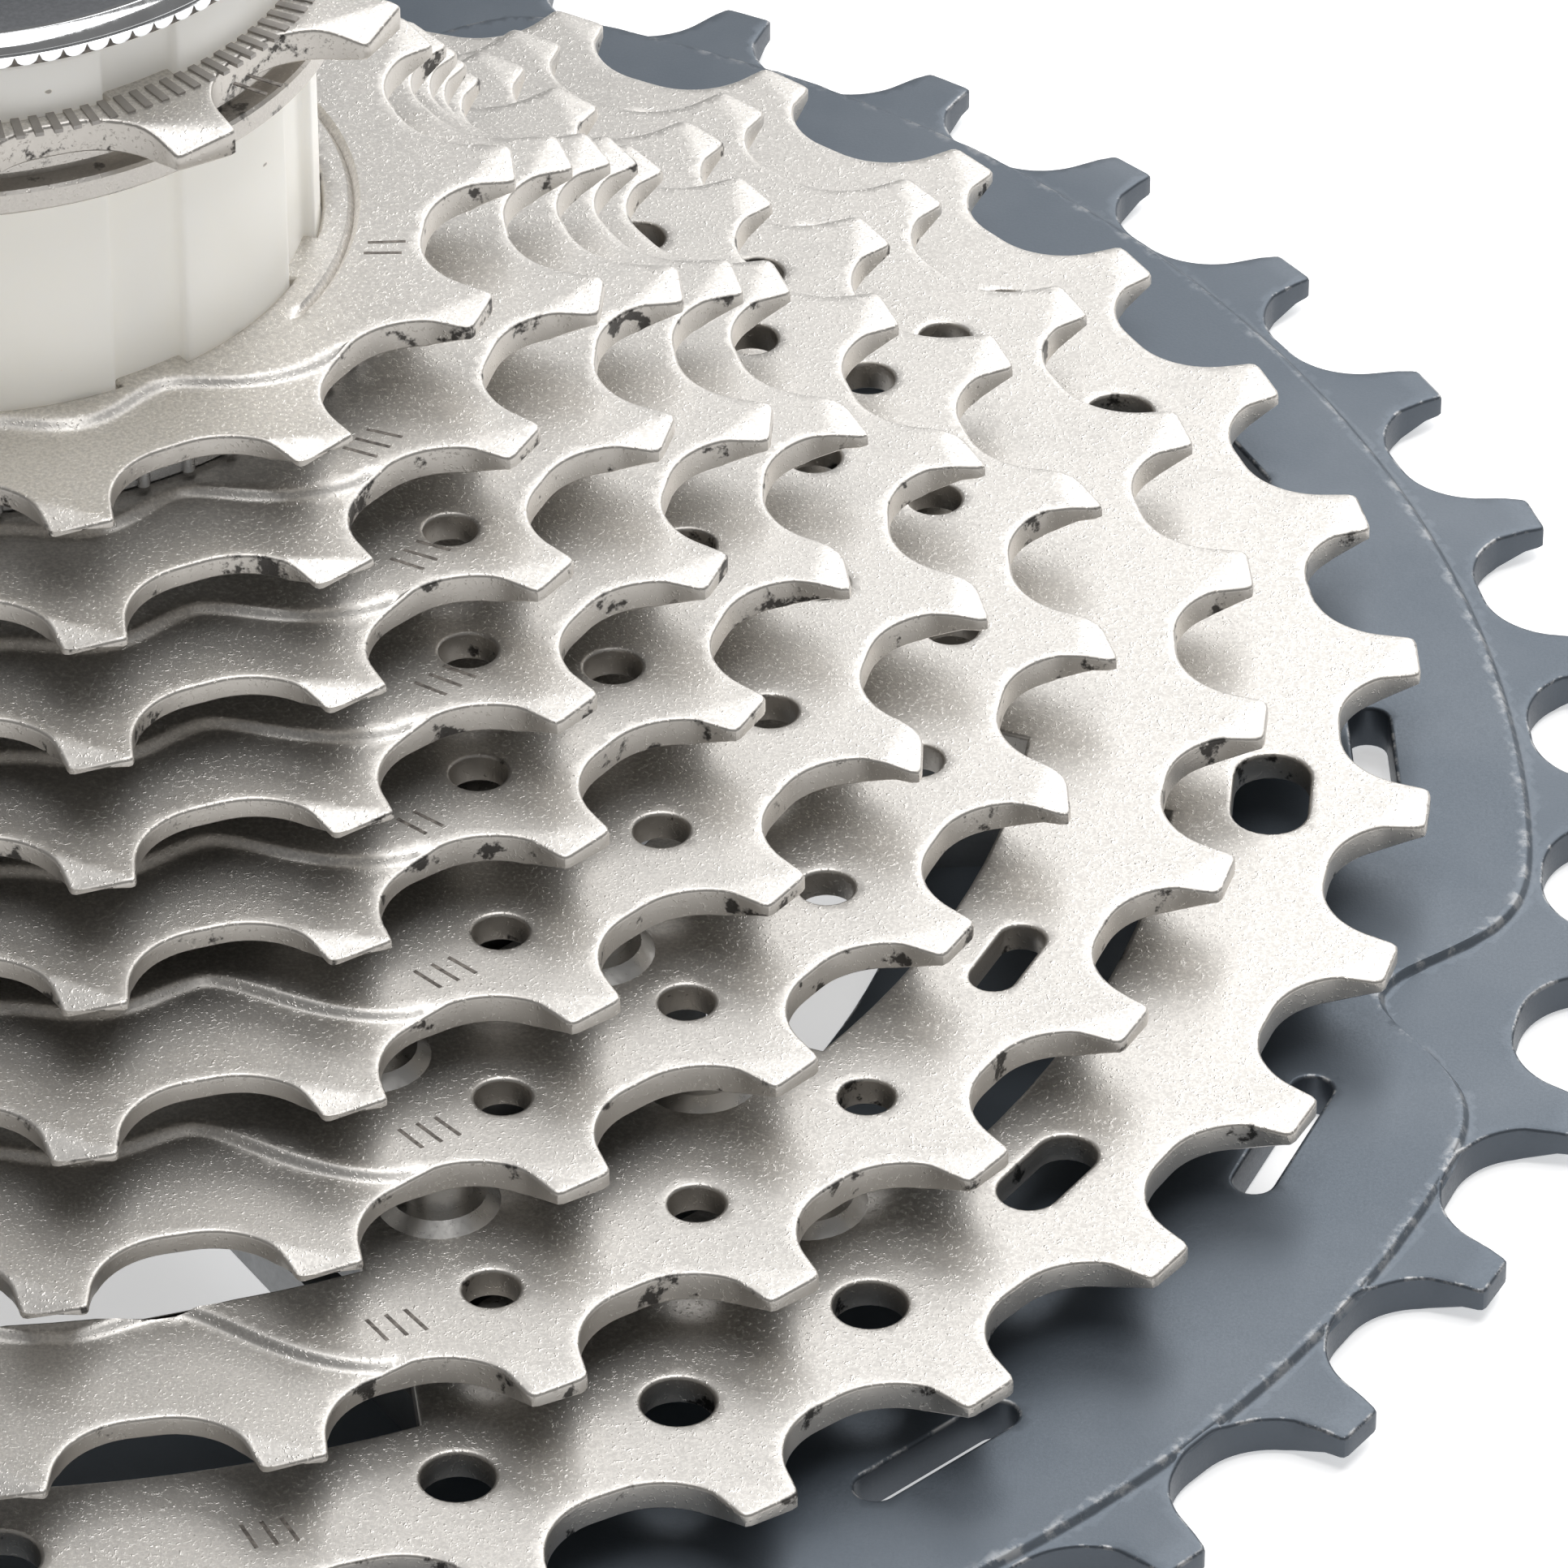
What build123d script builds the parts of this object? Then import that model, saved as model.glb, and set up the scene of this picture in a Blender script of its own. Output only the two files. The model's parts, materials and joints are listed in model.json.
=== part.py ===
"""Eleven-speed bicycle cassette on its transport core, eleven to forty teeth.

The cassette axis is +Z and the back of the largest sprocket stands on Z = 0.
Every length is in millimetres and every angle in degrees.
"""
import os
from math import cos, degrees, pi, radians, sin

from build123d import *

# ---- chain and tooth form ----
chain_pitch = 12.7
seat_radius = 4.1        # radius of both corners of a gullet, where a roller sits
seat_back = -0.45        # centre of the first corner, along the pitch circle
seat_drive = 0.8         # centre of the second corner
seat_depth = 0.1         # both centres below the pitch circle
back_lean = 20.0         # angle at which each corner runs into its flank
drive_lean = 10.0
land_back = 1.45         # flat of a tooth tip, either side of the tooth's middle
land_drive = 1.25
tip_rise = 0.3           # tooth tip above the pitch circle
tip_rise_40 = 0.75

# ---- stack heights ----
plate = 1.6              # steel sprocket thickness
plate_40 = 2.4           # aluminium sprocket thickness
pitch = 3.82             # one sprocket's top face to the next
top_13 = 37.2            # top face of the 13-tooth sprocket
play = 0.05              # axial gap at each face of a loose spacer
spacer_outer = 20.6

# ---- transport core and splines ----
core_outer = 17.25
core_inner = 14.0
core_foot = 0.25
core_top = 56.0
spline_count = 9
spline_angle = -12.5     # middle of the first spline
spline_width = 3.9
spline_floor = 16.2
fit = 0.1                # radial clearance of everything that slides on the core
foot_outer = 21.0
foot_top = 1.45
skirt_outer = 15.0       # lockring thread
skirt_gap = 0.08
skirt_bottom = 50.0
skirt_room = 1.0         # free height under the skirt
overrun = 1.0            # how far a cut runs past the edge that it opens

# ---- lockring and first sprocket ----
lock_outer = 18.0
lock_bottom = 56.15
lock_top = 57.8
lock_bevel = 0.6
lock_bore = 12.0
tool_teeth = 12          # grooves for the lockring tool
tool_depth = 0.8
tool_width = 2.4
top_11 = 53.05           # the 11-tooth sprocket rides high on the core
boss_11_outer = 18.3
boss_11_bottom = 48.75

# ---- spiders ----
arm_count = 6
arm_angle = 10.0         # middle of the first arm
window_inner = 30.0
window_half_in = 9.0     # half angle of a window at its inner end
window_half_out = 17.0   # half angle at its outer end
window_corner = 2.5
window_overrun = 4.0     # past the arms' ends, so that the corner fillets stay off them
rivet_spread = 9.0       # each arm carries a rivet this far either side of its middle
rivet_radius = 1.6
rivet_fit = 0.02
rivet_head = 2.9
rivet_head_height = 0.6
rivet_taper = 35.0
rivet_foot = 0.1         # height of a rivet's end above its spider's back
rivet_gap = 0.01
large_hub_outer = 26.0
large_hub_bottom = 1.6
large_arm_outer = 57.5
small_hub_outer = 25.0
small_arm_bottom = 7.0

# one row for each sprocket: teeth, first tooth's angle, thickness
phases = {
    11: 12.85, 13: 10.56, 15: 22.73, 17: 10.26, 19: 0.14, 21: 8.49,
    24: 11.04, 27: 12.11, 31: 9.38, 35: 6.85, 40: 1.93,
}
loose_teeth = [13, 15, 17, 19, 21]
riveted_teeth = [24, 27, 31]
stack = loose_teeth + riveted_teeth + [35]
tops = {teeth: top_13 - pitch * place for place, teeth in enumerate(stack)}
tops[40] = plate_40

# lightening holes: circle radius, hole radius, the tooth they start from
hole_circle = {17: 28.5, 19: 31.8, 21: 35.2, 24: 41.1, 27: 47.5, 31: 55.2, 35: 62.5}
hole_radius = {17: 1.45, 19: 1.5, 21: 1.5, 24: 1.5, 27: 1.5, 31: 1.5, 35: 1.9}
long_hole_reach = 3.2    # between the end centres of a long hole
long_hole_width = 0.85   # as a share of a round hole's
long_hole_turn = 1.5     # how far a long hole stands past its tooth
solid_teeth = 4          # the last teeth of a turn carry no holes
large_hole_reach = 2.0
large_hole_shift = 0.7   # how far out a large hole stands from the others
hole_start = {17: -31.7, 19: -37.4, 21: -42.5, 24: -48.6, 27: -54.2, 31: -59.9, 35: -65.2}

# ring sprockets: inner radius, rivet circle, inner radius of the riveted tabs
ring_inner = {24: 27.0, 27: 38.3, 31: 51.5, 35: 58.5, 40: 46.0}
rivet_circle = {24: 33.5, 27: 41.6, 31: 48.4, 35: 55.2, 40: 55.2}
tab_inner = {24: 27.0, 27: 38.3, 31: 46.0, 35: 52.0, 40: 46.0}
tab_half = 15.0          # half angle of a tab where it meets its ring
tab_taper = 2.0          # how much less at its inner end
step_outer = {24: 37.5, 27: 44.5, 31: 51.0}

# long slots in the largest sprocket
slot_circle = 68.6
slot_length = 9.6
slot_width = 2.0
slot_gaps = [24.2, 25.4, 24.4] + [26.0] * 10
slot_start = -45.5


def polar(radius, angle):
    """Point at a radius and an angle from +X."""
    return (radius * cos(radians(angle)), radius * sin(radians(angle)))


def pitch_radius(teeth):
    return chain_pitch / (2 * sin(pi / teeth))


def tip_radius(teeth):
    return pitch_radius(teeth) + (tip_rise_40 if teeth == 40 else tip_rise)


def gullet(teeth, angle):
    """Points of a gullet's two corner arcs, three each, from one flank to the next."""
    across = Vector(*polar(1, angle + 90))
    outward = Vector(*polar(1, angle))
    points = []
    for shift, turns in (
        (seat_back, (-90 + back_lean, -45, 0)),
        (seat_drive, (0, 45, 90 - drive_lean)),
    ):
        centre = outward * (pitch_radius(teeth) - seat_depth) + across * shift
        for turn in turns:
            reach = across * sin(radians(turn)) - outward * cos(radians(turn))
            points.append(centre + reach * seat_radius)
    return points


def draw_teeth(teeth):
    """Draw the closed outline of a sprocket's teeth."""
    step = 360 / teeth
    tip = tip_radius(teeth)
    back = degrees(land_back / tip)
    drive = degrees(land_drive / tip)
    for tooth in range(teeth):
        angle = phases[teeth] + tooth * step
        points = gullet(teeth, angle + step / 2)
        land_end = polar(tip, angle + drive)
        Line(polar(tip, angle - back), land_end)
        Line(land_end, points[0])
        ThreePointArc(*points[:3])
        Line(points[2], points[3])
        ThreePointArc(*points[3:])
        Line(points[5], polar(tip, angle + step - back))


def hole_angles(teeth):
    """Angles of the round, long and large holes of a sprocket."""
    step = 360 / teeth
    round_holes, long_holes, large_holes = [], [], []
    for tooth in range(teeth):
        angle = hole_start[teeth] + tooth * step
        if teeth != 35 and tooth >= teeth - solid_teeth:
            continue
        if teeth in (17, 19) and tooth % 4:
            continue
        if teeth == 31 and tooth % 8 > 3:
            continue
        if teeth == 35 and tooth % 9 in (4, 5, 7, 8):
            continue
        if (teeth == 31 and tooth % 8 == 3) or (teeth == 35 and tooth % 9 == 3):
            long_holes.append(angle)
        elif teeth == 35 and tooth % 9 == 6:
            large_holes.append(angle)
        else:
            round_holes.append(angle)
    return round_holes, long_holes, large_holes


def draw_holes(teeth):
    """Draw a sprocket's lightening holes in the current sketch."""
    circle, radius = hole_circle[teeth], hole_radius[teeth]
    round_holes, long_holes, large_holes = hole_angles(teeth)
    for angle in round_holes:
        with PolarLocations(circle, 1, angle):
            Circle(radius)
    for angle in long_holes:
        with PolarLocations(circle, 1, angle + long_hole_turn):
            SlotCenterToCenter(long_hole_reach, 2 * radius * long_hole_width, rotation=90)
    for angle in large_holes:
        with PolarLocations(circle + large_hole_shift, 1, angle):
            SlotCenterToCenter(large_hole_reach, 2 * radius, rotation=90)


def draw_splines(inner, width, mode=Mode.ADD):
    """Draw the inward tabs of a bore, or the grooves that they run in."""
    depth = core_outer + overrun - inner
    for index in range(spline_count):
        angle = spline_angle + index * 360 / spline_count
        with PolarLocations(inner + depth / 2, 1, angle):
            Rectangle(depth, width, mode=mode)


def draw_bore():
    """Draw the freehub's splined bore, with clearance all round."""
    Circle(core_outer + fit)
    draw_splines(spline_floor + fit, spline_width - 2 * fit, Mode.SUBTRACT)


def draw_rivets(teeth, radius):
    """Draw a circle at every rivet of one sprocket, two to each arm."""
    for index in range(arm_count):
        arm = arm_angle + index * 360 / arm_count
        for side in (-1, 1):
            with PolarLocations(rivet_circle[teeth], 1, arm + side * rivet_spread):
                Circle(radius)


def draw_windows(outer):
    """Draw the gaps between a spider's arms."""
    for index in range(arm_count):
        middle = arm_angle + (index + 0.5) * 360 / arm_count
        corners = [
            polar(window_inner, middle - window_half_in),
            polar(outer + window_overrun, middle - window_half_out),
            polar(outer + window_overrun, middle + window_half_out),
            polar(window_inner, middle + window_half_in),
        ]
        Polygon(*corners, align=None)


def draw_tabs(teeth):
    """Draw the inward tabs by which a ring sprocket is riveted to the arms."""
    inner, outer = tab_inner[teeth], ring_inner[teeth] + overrun
    for index in range(arm_count):
        middle = arm_angle + index * 360 / arm_count
        corners = [
            polar(inner, middle - tab_half + tab_taper),
            polar(outer, middle - tab_half),
            polar(outer + overrun, middle),
            polar(outer, middle + tab_half),
            polar(inner, middle + tab_half - tab_taper),
        ]
        Polygon(*corners, align=None)


def finish(builder, name):
    """Label a finished piece and write it."""
    builder.part.label = name
    export_step(builder.part, f"parts/{name}.step")


os.makedirs("parts", exist_ok=True)

# transport core: a splined plastic tube with a foot flange
with BuildPart() as transport_core:
    with BuildSketch(Plane.XY.offset(core_foot)):
        Circle(core_outer)
        draw_splines(spline_floor, spline_width, Mode.SUBTRACT)
    extrude(amount=core_top - core_foot)
    with BuildSketch(Plane.XY.offset(core_foot)):
        Circle(foot_outer)
    extrude(amount=foot_top - core_foot)
    with BuildSketch(Plane.XY.offset(core_foot)):
        Circle(core_inner)
    extrude(amount=core_top, mode=Mode.SUBTRACT)
    with BuildSketch(Plane.XY.offset(skirt_bottom - skirt_room)):
        Circle(skirt_outer + skirt_gap)
    extrude(amount=core_top, mode=Mode.SUBTRACT)
finish(transport_core, "transport_core")

# lockring: a flange over a threaded skirt, with a toothed bore for the tool
with BuildPart() as lockring:
    with BuildSketch(Plane.XY.offset(lock_bottom)):
        Circle(lock_outer)
    extrude(amount=lock_top - lock_bottom)
    chamfer(lockring.edges().group_by(Axis.Z)[-1], lock_bevel)
    with BuildSketch(Plane.XY.offset(skirt_bottom)):
        Circle(skirt_outer)
    extrude(amount=lock_bottom - skirt_bottom)
    with BuildSketch(Plane.XY.offset(skirt_bottom)):
        Circle(lock_bore)
        with PolarLocations(lock_bore, tool_teeth):
            Rectangle(2 * tool_depth, tool_width)
    extrude(amount=lock_top, mode=Mode.SUBTRACT)
finish(lockring, "lockring")

# smallest sprocket, with its spacer boss in one piece
with BuildPart() as sprocket_11t:
    with BuildSketch(Plane.XY.offset(top_11 - plate)):
        with BuildLine():
            draw_teeth(11)
        make_face()
    extrude(amount=plate)
    with BuildSketch(Plane.XY.offset(boss_11_bottom)):
        Circle(boss_11_outer)
    extrude(amount=top_11 - plate - boss_11_bottom)
    with BuildSketch(Plane.XY.offset(boss_11_bottom)):
        draw_bore()
    extrude(amount=top_11 - boss_11_bottom, mode=Mode.SUBTRACT)
finish(sprocket_11t, "sprocket_11t")

# loose sprockets, each a toothed plate with a splined bore
for teeth in loose_teeth:
    with BuildPart() as loose:
        with BuildSketch(Plane.XY.offset(tops[teeth] - plate)):
            with BuildLine():
                draw_teeth(teeth)
            make_face()
        extrude(amount=plate)
        with BuildSketch(Plane.XY.offset(tops[teeth] - plate)):
            draw_bore()
            if teeth in hole_circle:
                draw_holes(teeth)
        extrude(amount=plate, mode=Mode.SUBTRACT)
    finish(loose, f"sprocket_{teeth}t")

# loose spacers between them
for above, below in zip(loose_teeth, loose_teeth[1:] + [24]):
    with BuildPart() as spacer:
        with BuildSketch(Plane.XY.offset(tops[below] + play)):
            Circle(spacer_outer)
            Circle(core_outer + fit, mode=Mode.SUBTRACT)
        extrude(amount=pitch - plate - 2 * play)
    finish(spacer, f"spacer_{above}t_{below}t")

# ring sprockets that are riveted to the spiders
for teeth in riveted_teeth + [35, 40]:
    thickness = plate_40 if teeth == 40 else plate
    base = Plane.XY.offset(tops[teeth] - thickness)
    with BuildPart() as ring:
        with BuildSketch(base):
            with BuildLine():
                draw_teeth(teeth)
            make_face()
            Circle(ring_inner[teeth], mode=Mode.SUBTRACT)
            if tab_inner[teeth] < ring_inner[teeth]:
                draw_tabs(teeth)
        extrude(amount=thickness)
        with BuildSketch(base):
            draw_rivets(teeth, rivet_radius + rivet_fit)
            if teeth == 40:
                angle = slot_start
                for gap in slot_gaps + [0]:
                    with PolarLocations(slot_circle, 1, angle):
                        SlotOverall(slot_length, slot_width, rotation=90)
                    angle += gap
            else:
                draw_holes(teeth)
        extrude(amount=thickness, mode=Mode.SUBTRACT)
    finish(ring, f"sprocket_{teeth}t")

# large spider: carries the 35 and 40-tooth sprockets
with BuildPart() as large_spider:
    with BuildSketch(Plane.XY.offset(tops[40])):
        Circle(large_arm_outer)
        with BuildSketch(mode=Mode.SUBTRACT) as windows:
            draw_windows(large_arm_outer)
            fillet(windows.vertices(), window_corner)
    extrude(amount=tops[35] - plate - tops[40])
    with BuildSketch(Plane.XY.offset(large_hub_bottom)):
        Circle(large_hub_outer)
    extrude(amount=tops[35] - large_hub_bottom)
    with BuildSketch(Plane.XY.offset(large_hub_bottom)):
        draw_bore()
        draw_rivets(35, rivet_radius + rivet_fit)
    extrude(amount=tops[35], mode=Mode.SUBTRACT)
finish(large_spider, "large_spider")

# small spider: a stair of arms that carries the 24, 27 and 31-tooth sprockets
with BuildPart() as small_spider:
    for teeth in riveted_teeth:
        with BuildSketch(Plane.XY.offset(small_arm_bottom)):
            Circle(step_outer[teeth])
        extrude(amount=tops[teeth] - plate - small_arm_bottom)
    with BuildSketch(Plane.XY.offset(small_arm_bottom)) as windows:
        draw_windows(step_outer[31])
        fillet(windows.vertices(), window_corner)
    extrude(amount=tops[24], mode=Mode.SUBTRACT)
    with BuildSketch(Plane.XY.offset(tops[35] + play)):
        Circle(small_hub_outer)
    extrude(amount=tops[24] - tops[35] - play)
    with BuildSketch(Plane.XY.offset(tops[35])):
        draw_bore()
        for teeth in riveted_teeth:
            draw_rivets(teeth, rivet_radius + rivet_fit)
    extrude(amount=tops[24], mode=Mode.SUBTRACT)
finish(small_spider, "small_spider")

# rivets: a shank and a low head, one group for each riveted sprocket
for teeth in riveted_teeth + [35]:
    foot = rivet_foot if teeth == 35 else small_arm_bottom + rivet_foot
    with BuildPart() as rivets:
        with BuildSketch(Plane.XY.offset(foot)):
            draw_rivets(teeth, rivet_radius)
        extrude(amount=tops[teeth] + rivet_gap - foot)
        with BuildSketch(Plane.XY.offset(tops[teeth] + rivet_gap)):
            draw_rivets(teeth, rivet_head)
        extrude(amount=rivet_head_height, taper=rivet_taper)
    finish(rivets, f"rivets_{teeth}t")
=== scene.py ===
from math import cos, degrees, pi, radians, sin, sqrt

import bpy
import numpy as np
from mathutils import Matrix, Vector
from mathutils.geometry import delaunay_2d_cdt
from mathutils.kdtree import KDTree
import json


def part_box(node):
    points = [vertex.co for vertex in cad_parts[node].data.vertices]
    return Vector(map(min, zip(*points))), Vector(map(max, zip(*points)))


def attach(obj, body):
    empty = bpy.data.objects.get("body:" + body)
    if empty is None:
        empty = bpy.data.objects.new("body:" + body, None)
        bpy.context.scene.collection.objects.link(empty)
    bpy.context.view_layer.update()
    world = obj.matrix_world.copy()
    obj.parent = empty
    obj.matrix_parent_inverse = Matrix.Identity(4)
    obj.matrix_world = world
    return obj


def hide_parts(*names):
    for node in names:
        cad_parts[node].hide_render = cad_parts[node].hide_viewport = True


# Lengths are in millimetres and angles in degrees until a mesh is made; the studio is in metres.
mm = 0.001
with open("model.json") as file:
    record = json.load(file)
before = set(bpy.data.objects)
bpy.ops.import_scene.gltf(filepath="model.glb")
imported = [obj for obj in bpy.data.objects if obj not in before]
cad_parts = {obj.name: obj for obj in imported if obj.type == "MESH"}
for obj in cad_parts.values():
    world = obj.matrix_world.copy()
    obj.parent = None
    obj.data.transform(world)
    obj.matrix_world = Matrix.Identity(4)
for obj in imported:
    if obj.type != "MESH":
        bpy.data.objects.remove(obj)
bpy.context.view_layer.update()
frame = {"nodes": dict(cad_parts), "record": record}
print("frame loaded:", len(frame["nodes"]), "CAD nodes")

bodyOf = {}
for body, members in frame["record"]["behaviour"]["bodies"].items():
    for member in members:
        bodyOf[member] = body


def newMaterial(name):
    material = bpy.data.materials.new(name)
    material.use_nodes = True
    tree = material.node_tree
    shader = tree.nodes["Principled BSDF"]
    return material, tree, shader


def addNode(tree, kind, **values):
    node = tree.nodes.new(kind)
    for key, value in values.items():
        if key in node.inputs.keys():
            node.inputs[key].default_value = value
        else:
            setattr(node, key, value)
    return node


def objectNoise(tree, scale, detail=2.0, roughness=0.5):
    place = addNode(tree, "ShaderNodeTexCoord")
    noise = addNode(tree, "ShaderNodeTexNoise", Scale=scale, Detail=detail, Roughness=roughness)
    tree.links.new(place.outputs["Object"], noise.inputs["Vector"])
    return noise.outputs["Fac"]


def ramp(tree, source, low, high, first=0.0, last=1.0):
    node = addNode(tree, "ShaderNodeMapRange", clamp=True)
    tree.links.new(source, node.inputs["Value"])
    node.inputs["From Min"].default_value = low
    node.inputs["From Max"].default_value = high
    node.inputs["To Min"].default_value = first
    node.inputs["To Max"].default_value = last
    return node.outputs["Result"]


def mixColour(tree, factor, first, second):
    node = addNode(tree, "ShaderNodeMix", data_type="RGBA")
    ends = ((node.inputs[6], first), (node.inputs[7], second))
    for socket, colour in ends:
        if isinstance(colour, tuple):
            socket.default_value = (*colour, 1)
        else:
            tree.links.new(colour, socket)
    tree.links.new(factor, node.inputs[0])
    return node.outputs[2]


def feed(tree, node, *values):
    # gives a node's inputs, in order, a number or a link each
    for socket, value in zip(node.inputs, values):
        if isinstance(value, (int, float)):
            socket.default_value = value
        else:
            tree.links.new(value, socket)
    return node.outputs[0]


def times(tree, first, second):
    return feed(tree, addNode(tree, "ShaderNodeMath", operation="MULTIPLY"), first, second)


def addBump(tree, shader, height, strength, distance):
    bump = addNode(tree, "ShaderNodeBump", Strength=strength, Distance=distance)
    tree.links.new(height, bump.inputs["Height"])
    tree.links.new(bump.outputs["Normal"], shader.inputs["Normal"])


steel = {
    "body": (0.725, 0.70, 0.665), "stain": (0.56, 0.545, 0.52), "wall": (0.60, 0.57, 0.53),
    "soot": (0.09, 0.085, 0.08), "grain": 5200, "grainDepth": 0.00005,
}


def makeSteel():
    # blasted and nickel plated: fine grain, smoother brownish walls with dark grease; the grain lightens
    # the colour in specks, partly painted glints
    material, tree, shader = newMaterial("nickelSteel")
    grain = objectNoise(tree, steel["grain"], 2.0, 0.6)
    cloud = ramp(tree, objectNoise(tree, 160, 4.0, 0.6), 0.52, 0.72)
    body = mixColour(tree, times(tree, cloud, 0.35), steel["body"], steel["stain"])
    soot = ramp(tree, objectNoise(tree, 420, 5.0, 0.65), 0.585, 0.63)
    wall = mixColour(tree, soot, steel["wall"], steel["soot"])
    cut = addNode(tree, "ShaderNodeAttribute", attribute_name="cut")
    # grain tone that rises above the body colour in specks: real grain and painted glints
    grainAndPaintedGlint = ramp(tree, grain, 0.38, 0.66, 0.84, 1.1)
    bodyWithGrainAndGlint = addNode(tree, "ShaderNodeVectorMath", operation="SCALE")
    tree.links.new(body, bodyWithGrainAndGlint.inputs[0])
    tree.links.new(grainAndPaintedGlint, bodyWithGrainAndGlint.inputs["Scale"])
    colour = mixColour(tree, cut.outputs["Fac"], bodyWithGrainAndGlint.outputs[0], wall)
    tree.links.new(colour, shader.inputs["Base Color"])
    shader.inputs["Metallic"].default_value = 1.0
    tree.links.new(ramp(tree, grain, 0.3, 0.7, 0.47, 0.37), shader.inputs["Roughness"])
    addBump(tree, shader, ramp(tree, grain, 0.58, 0.74), 0.4, steel["grainDepth"])
    return material


anodised = {
    "body": (0.130, 0.155, 0.185), "pale": (0.160, 0.185, 0.215), "worn": (0.62, 0.62, 0.62),
    "wall": (0.085, 0.10, 0.12),
}


def makeAnodised():
    # blue-grey anodised aluminium, rubbed to bare metal along its edges
    material, tree, shader = newMaterial("anodisedAluminium")
    grain = objectNoise(tree, 7000, 2.0, 0.6)
    cloud = ramp(tree, objectNoise(tree, 90, 3.0, 0.6), 0.4, 0.7)
    body = mixColour(tree, cloud, anodised["body"], anodised["pale"])
    cut = addNode(tree, "ShaderNodeAttribute", attribute_name="cut")
    body = mixColour(tree, cut.outputs["Fac"], body, anodised["wall"])
    edge = addNode(tree, "ShaderNodeAttribute", attribute_name="edge")
    scuff = ramp(tree, objectNoise(tree, 700, 5.0, 0.7), 0.50, 0.60)
    worn = times(tree, edge.outputs["Fac"], scuff)
    colour = mixColour(tree, worn, body, anodised["worn"])
    tree.links.new(colour, shader.inputs["Base Color"])
    shader.inputs["Metallic"].default_value = 0.55
    tree.links.new(ramp(tree, grain, 0.3, 0.7, 0.36, 0.48), shader.inputs["Roughness"])
    addBump(tree, shader, grain, 0.25, 0.00002)
    return material


def makePlastic():
    # milky nylon, with a faint emission that is painted light
    material, tree, shader = newMaterial("milkyPlastic")
    cloud = ramp(tree, objectNoise(tree, 120, 3.0, 0.5), 0.35, 0.7)
    colour = mixColour(tree, cloud, (0.89, 0.865, 0.80), (0.93, 0.91, 0.86))
    specks = ramp(tree, objectNoise(tree, 1100, 1.0, 0.4), 0.80, 0.82)
    colour = mixColour(tree, specks, colour, (0.25, 0.22, 0.18))
    tree.links.new(colour, shader.inputs["Base Color"])
    shader.inputs["Roughness"].default_value = 0.33
    shader.inputs["Subsurface Weight"].default_value = 0.35
    shader.inputs["Subsurface Radius"].default_value = (1.0, 0.95, 0.85)
    shader.inputs["Subsurface Scale"].default_value = 0.004
    # the emission makes the plastic glow faintly: painted light
    shader.inputs["Emission Color"].default_value = (1.0, 0.97, 0.90, 1)
    shader.inputs["Emission Strength"].default_value = 0.13
    addBump(tree, shader, objectNoise(tree, 400, 2.0), 0.1, 0.0001)
    return material


def makeMetal(name, colour, low, high, grain, depth):
    material, tree, shader = newMaterial(name)
    noise = objectNoise(tree, grain, 3.0, 0.6)
    shade = tuple(0.82 * part for part in colour)
    cloud = ramp(tree, objectNoise(tree, 300, 4.0, 0.6), 0.4, 0.7)
    tree.links.new(mixColour(tree, cloud, colour, shade), shader.inputs["Base Color"])
    shader.inputs["Metallic"].default_value = 1.0
    tree.links.new(ramp(tree, noise, 0.3, 0.7, low, high), shader.inputs["Roughness"])
    addBump(tree, shader, noise, 0.2, depth)
    return material


def makePaint():
    # dark satin paint on the lockring's face
    material, tree, shader = newMaterial("lockringPaint")
    noise = objectNoise(tree, 5000, 2.0, 0.6)
    colour = mixColour(tree, ramp(tree, noise, 0.4, 0.7), (0.105, 0.11, 0.118), (0.13, 0.135, 0.145))
    tree.links.new(colour, shader.inputs["Base Color"])
    tree.links.new(ramp(tree, noise, 0.3, 0.7, 0.40, 0.52), shader.inputs["Roughness"])
    addBump(tree, shader, noise, 0.2, 0.00003)
    return material


def makeGreaseAndPaintedShade():
    # dark grease in the stamped strokes; under the lockring's edge the same dark colour is painted shade
    material, tree, shader = newMaterial("strokeGreaseAndPaintedShade")
    noise = objectNoise(tree, 3000, 3.0, 0.6)
    colour = mixColour(tree, ramp(tree, noise, 0.35, 0.7), (0.10, 0.09, 0.08), (0.32, 0.29, 0.26))
    tree.links.new(colour, shader.inputs["Base Color"])
    shader.inputs["Metallic"].default_value = 0.5
    shader.inputs["Roughness"].default_value = 0.6
    return material


nickel = makeSteel()
blueGrey = makeAnodised()
plastic = makePlastic()
chrome = makeMetal("polishedChrome", (0.86, 0.87, 0.88), 0.06, 0.16, 2500, 0.00001)
bareAluminium = makeMetal("bareAluminium", (0.74, 0.75, 0.76), 0.22, 0.36, 2200, 0.00002)
spiderMetal = makeMetal("spiderAluminium", (0.42, 0.43, 0.44), 0.42, 0.56, 4000, 0.00003)
rivetMetal = makeMetal("rivetSteel", (0.66, 0.645, 0.62), 0.25, 0.4, 3000, 0.00002)
# darker steel for the 11-tooth sprocket's ridges: painted shade
ridgePaintedShadeSteel = makeMetal("ridgePaintedShadeSteel", (0.40, 0.38, 0.36), 0.40, 0.55, 3000, 0.00003)
paint = makePaint()
greaseAndPaintedShade = makeGreaseAndPaintedShade()
print("materials made")


def polar(radius, angle):
    return np.array((radius * cos(radians(angle)), radius * sin(radians(angle))))


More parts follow.
